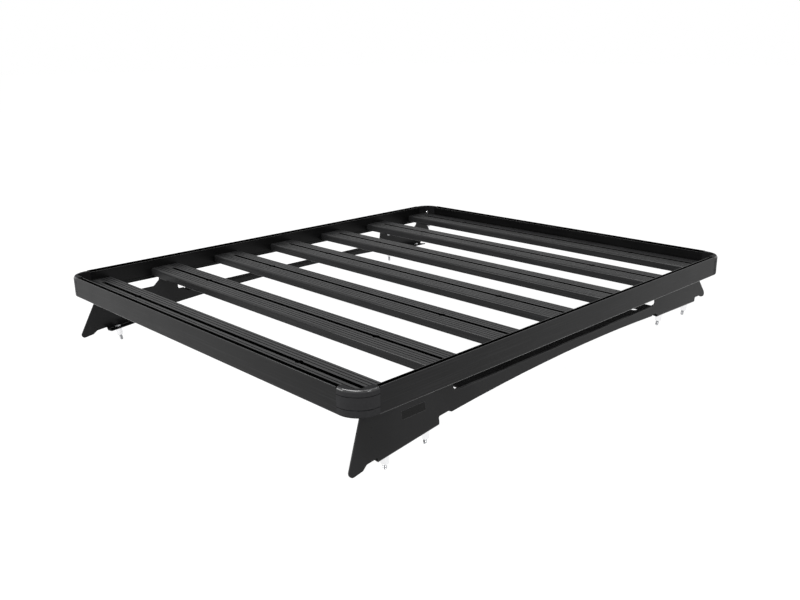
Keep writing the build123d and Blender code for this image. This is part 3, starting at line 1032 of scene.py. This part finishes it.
def makeLabel(side):
    slope = math.radians(label["slope"])
    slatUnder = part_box("slat_1")[0].z
    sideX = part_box("right_rail")[1].x - label["plateInset"]
    up = Vector((-side * math.sin(slope), 0, math.cos(slope)))
    out = Vector((side * math.cos(slope), 0, math.sin(slope)))
    along = up.cross(out)
    centre = Vector((side * sideX, label["along"], slatUnder)) - up * label["drop"]
    work = bmesh.new()
    shells = []
    border = label["border"]
    sizes = (
        (0.0, 0.0),
        (0.0, label["edgeThick"]),
        (label["edgeBevel"], label["thick"]),
        (border, label["thick"]),
        (border + label["borderStep"], label["filmThick"]),
    )
    for inset, height in sizes:
        radius = max(label["corner"] - inset, label["leastCorner"])
        outline = roundedOutline(label["width"] - 2 * inset, label["height"] - 2 * inset, radius)
        shells.append([work.verts.new(centre + along * x + up * y + out * height) for x, y in outline])
    for lower, upper in zip(shells, shells[1:]):
        count = len(lower)
        for step in range(count):
            after = (step + 1) % count
            work.faces.new((lower[step], lower[after], upper[after], upper[step])).material_index = 1
    work.faces.new(shells[-1]).material_index = 0
    work.faces.new(list(reversed(shells[0])))
    bmesh.ops.recalc_face_normals(work, faces=work.faces)
    mesh = bpy.data.meshes.new("labelMesh")
    work.to_mesh(mesh)
    work.free()
    mesh.materials.append(finishes["labelFilm"])
    mesh.materials.append(finishes["labelBorder"])
    piece = newPiece("rightLabel" if side > 0 else "leftLabel", mesh)
    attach(piece, "root")
    return piece


for side in (1, -1):
    makeLabel(side)
print("labels placed")


# Floor, world and lamps: white surroundings seen by camera and reflections, plain light on the object
stageLook = {
    "floorHalf": 30.0,
    "floorTint": 0.36,
    "white": 0.965,
    "shadowShare": 0.10,
    "room": 0.55,
    "zenith": 0.3,
    "fadeRange": (0.3, 0.9),
    "aim": (0, 0, 0.15),
}


def seenDirectly(tree):
    path = put(tree, "ShaderNodeLightPath")
    mirrored = calc(tree, "MAXIMUM", path.outputs["Is Glossy Ray"], path.outputs["Is Transmission Ray"])
    return calc(tree, "MAXIMUM", path.outputs["Is Camera Ray"], mirrored)


def makeFloor():
    half = stageLook["floorHalf"]
    mesh = bpy.data.meshes.new("floor")
    corners = [(-half, -half, 0), (half, -half, 0), (half, half, 0), (-half, half, 0)]
    mesh.from_pydata(corners, [], [(0, 1, 2, 3)])
    material = bpy.data.materials.new("paleFloor")
    material.use_nodes = True
    tree = material.node_tree
    tree.nodes.clear()
    out = put(tree, "ShaderNodeOutputMaterial")
    plain = put(tree, "ShaderNodeBsdfDiffuse")
    plain.inputs["Color"].default_value = (stageLook["floorTint"],) * 3 + (1,)
    glow = put(tree, "ShaderNodeEmission")
    glow.inputs["Strength"].default_value = stageLook["white"]
    shadow = put(tree, "ShaderNodeBsdfDiffuse")
    shadow.inputs["Color"].default_value = (stageLook["shadowShare"],) * 3 + (1,)
    both = put(tree, "ShaderNodeAddShader")
    mix = put(tree, "ShaderNodeMixShader")
    wire(
        tree,
        (glow.outputs[0], both.inputs[0]),
        (shadow.outputs[0], both.inputs[1]),
        (seenDirectly(tree), mix.inputs[0]),
        (plain.outputs[0], mix.inputs[1]),
        (both.outputs[0], mix.inputs[2]),
        (mix.outputs[0], out.inputs["Surface"]),
    )
    mesh.materials.append(material)
    floor = newPiece("floor", mesh)


def makeWorld():
    world = bpy.data.worlds.new("paleRoom")
    world.use_nodes = True
    scene.world = world
    tree = world.node_tree
    tree.nodes.clear()
    out = put(tree, "ShaderNodeOutputWorld")
    room = put(tree, "ShaderNodeBackground")
    white = put(tree, "ShaderNodeBackground")
    for background in (room, white):
        background.inputs["Color"].default_value = (1, 1, 1, 1)
    height = put(tree, "ShaderNodeSeparateXYZ")
    fade = put(tree, "ShaderNodeMapRange")
    setPair(fade, "From Min", "From Max", stageLook["fadeRange"])
    setPair(fade, "To Min", "To Max", (stageLook["room"], stageLook["zenith"]))
    mix = put(tree, "ShaderNodeMixShader")
    wire(
        tree,
        (put(tree, "ShaderNodeTexCoord").outputs["Generated"], height.inputs["Vector"]),
        (height.outputs["Z"], fade.inputs["Value"]),
        (fade.outputs["Result"], room.inputs["Strength"]),
        (seenDirectly(tree), mix.inputs[0]),
        (room.outputs[0], mix.inputs[1]),
        (white.outputs[0], mix.inputs[2]),
        (mix.outputs[0], out.inputs["Surface"]),
    )


lamps = {
    "frontSoftbox": {"at": (-1.5, -2.9, 1.45), "size": (1.8, 1.2), "power": 40},
    "rightSoftbox": {"at": (3.1, -0.4, 1.9), "size": (0.8, 0.5), "power": 20},
    "overheadPanel": {"at": (0.1, -1.3, 2.6), "size": (2.6, 1.2), "power": 100, "down": True},
    "sideStrip": {"at": (1.5, 0.35, 2.6), "size": (0.35, 2.1), "power": 16, "down": True},
}


def makeLamps():
    for name, lamp in lamps.items():
        data = bpy.data.lights.new(name, "AREA")
        data.shape = "RECTANGLE"
        data.size, data.size_y = lamp["size"]
        data.energy = lamp["power"]
        light = bpy.data.objects.new(name, data)
        light.location = lamp["at"]
        if "down" not in lamp:
            aim = Vector(stageLook["aim"]) - Vector(lamp["at"])
            light.rotation_euler = aim.to_track_quat("-Z", "Y").to_euler()
        scene.collection.objects.link(light)


makeFloor()
makeWorld()
makeLamps()
print("stage and lamps set")


# Camera fitted to the picture
view = {
    "focal": 826.84,  # pixels
    "frame": 800,  # pixels across
    "sensor": 36.0,
    "far": 100,
    "yaw": 45.725,  # degrees
    "pitch": 16.897,
    "roll": -0.712,
    "at": (1.53384, -1.51556, 0.60546),  # from the foot of the rim
}


def makeCamera():
    data = bpy.data.cameras.new("camera")
    data.sensor_fit = "HORIZONTAL"
    data.sensor_width = view["sensor"]
    data.lens = view["focal"] * data.sensor_width / view["frame"]
    data.clip_end = view["far"]
    camera = bpy.data.objects.new("camera", data)
    yaw, pitch, roll = (math.radians(view[key]) for key in ("yaw", "pitch", "roll"))
    back = Vector((math.sin(yaw) * math.cos(pitch), -math.cos(yaw) * math.cos(pitch), math.sin(pitch)))
    right = Vector((0, 0, 1)).cross(back).normalized()
    up = back.cross(right)
    rolledRight = right * math.cos(roll) + up * math.sin(roll)
    rolledUp = up * math.cos(roll) - right * math.sin(roll)
    place = Vector(view["at"]) + Vector((0, 0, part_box("right_rail")[0].z))
    turn = Matrix((rolledRight, rolledUp, back)).transposed().to_4x4()
    camera.matrix_world = Matrix.Translation(place) @ turn
    scene.collection.objects.link(camera)
    scene.camera = camera


makeCamera()
scene.view_settings.view_transform = "Standard"
print("camera set")

bpy.context.view_layer.update()
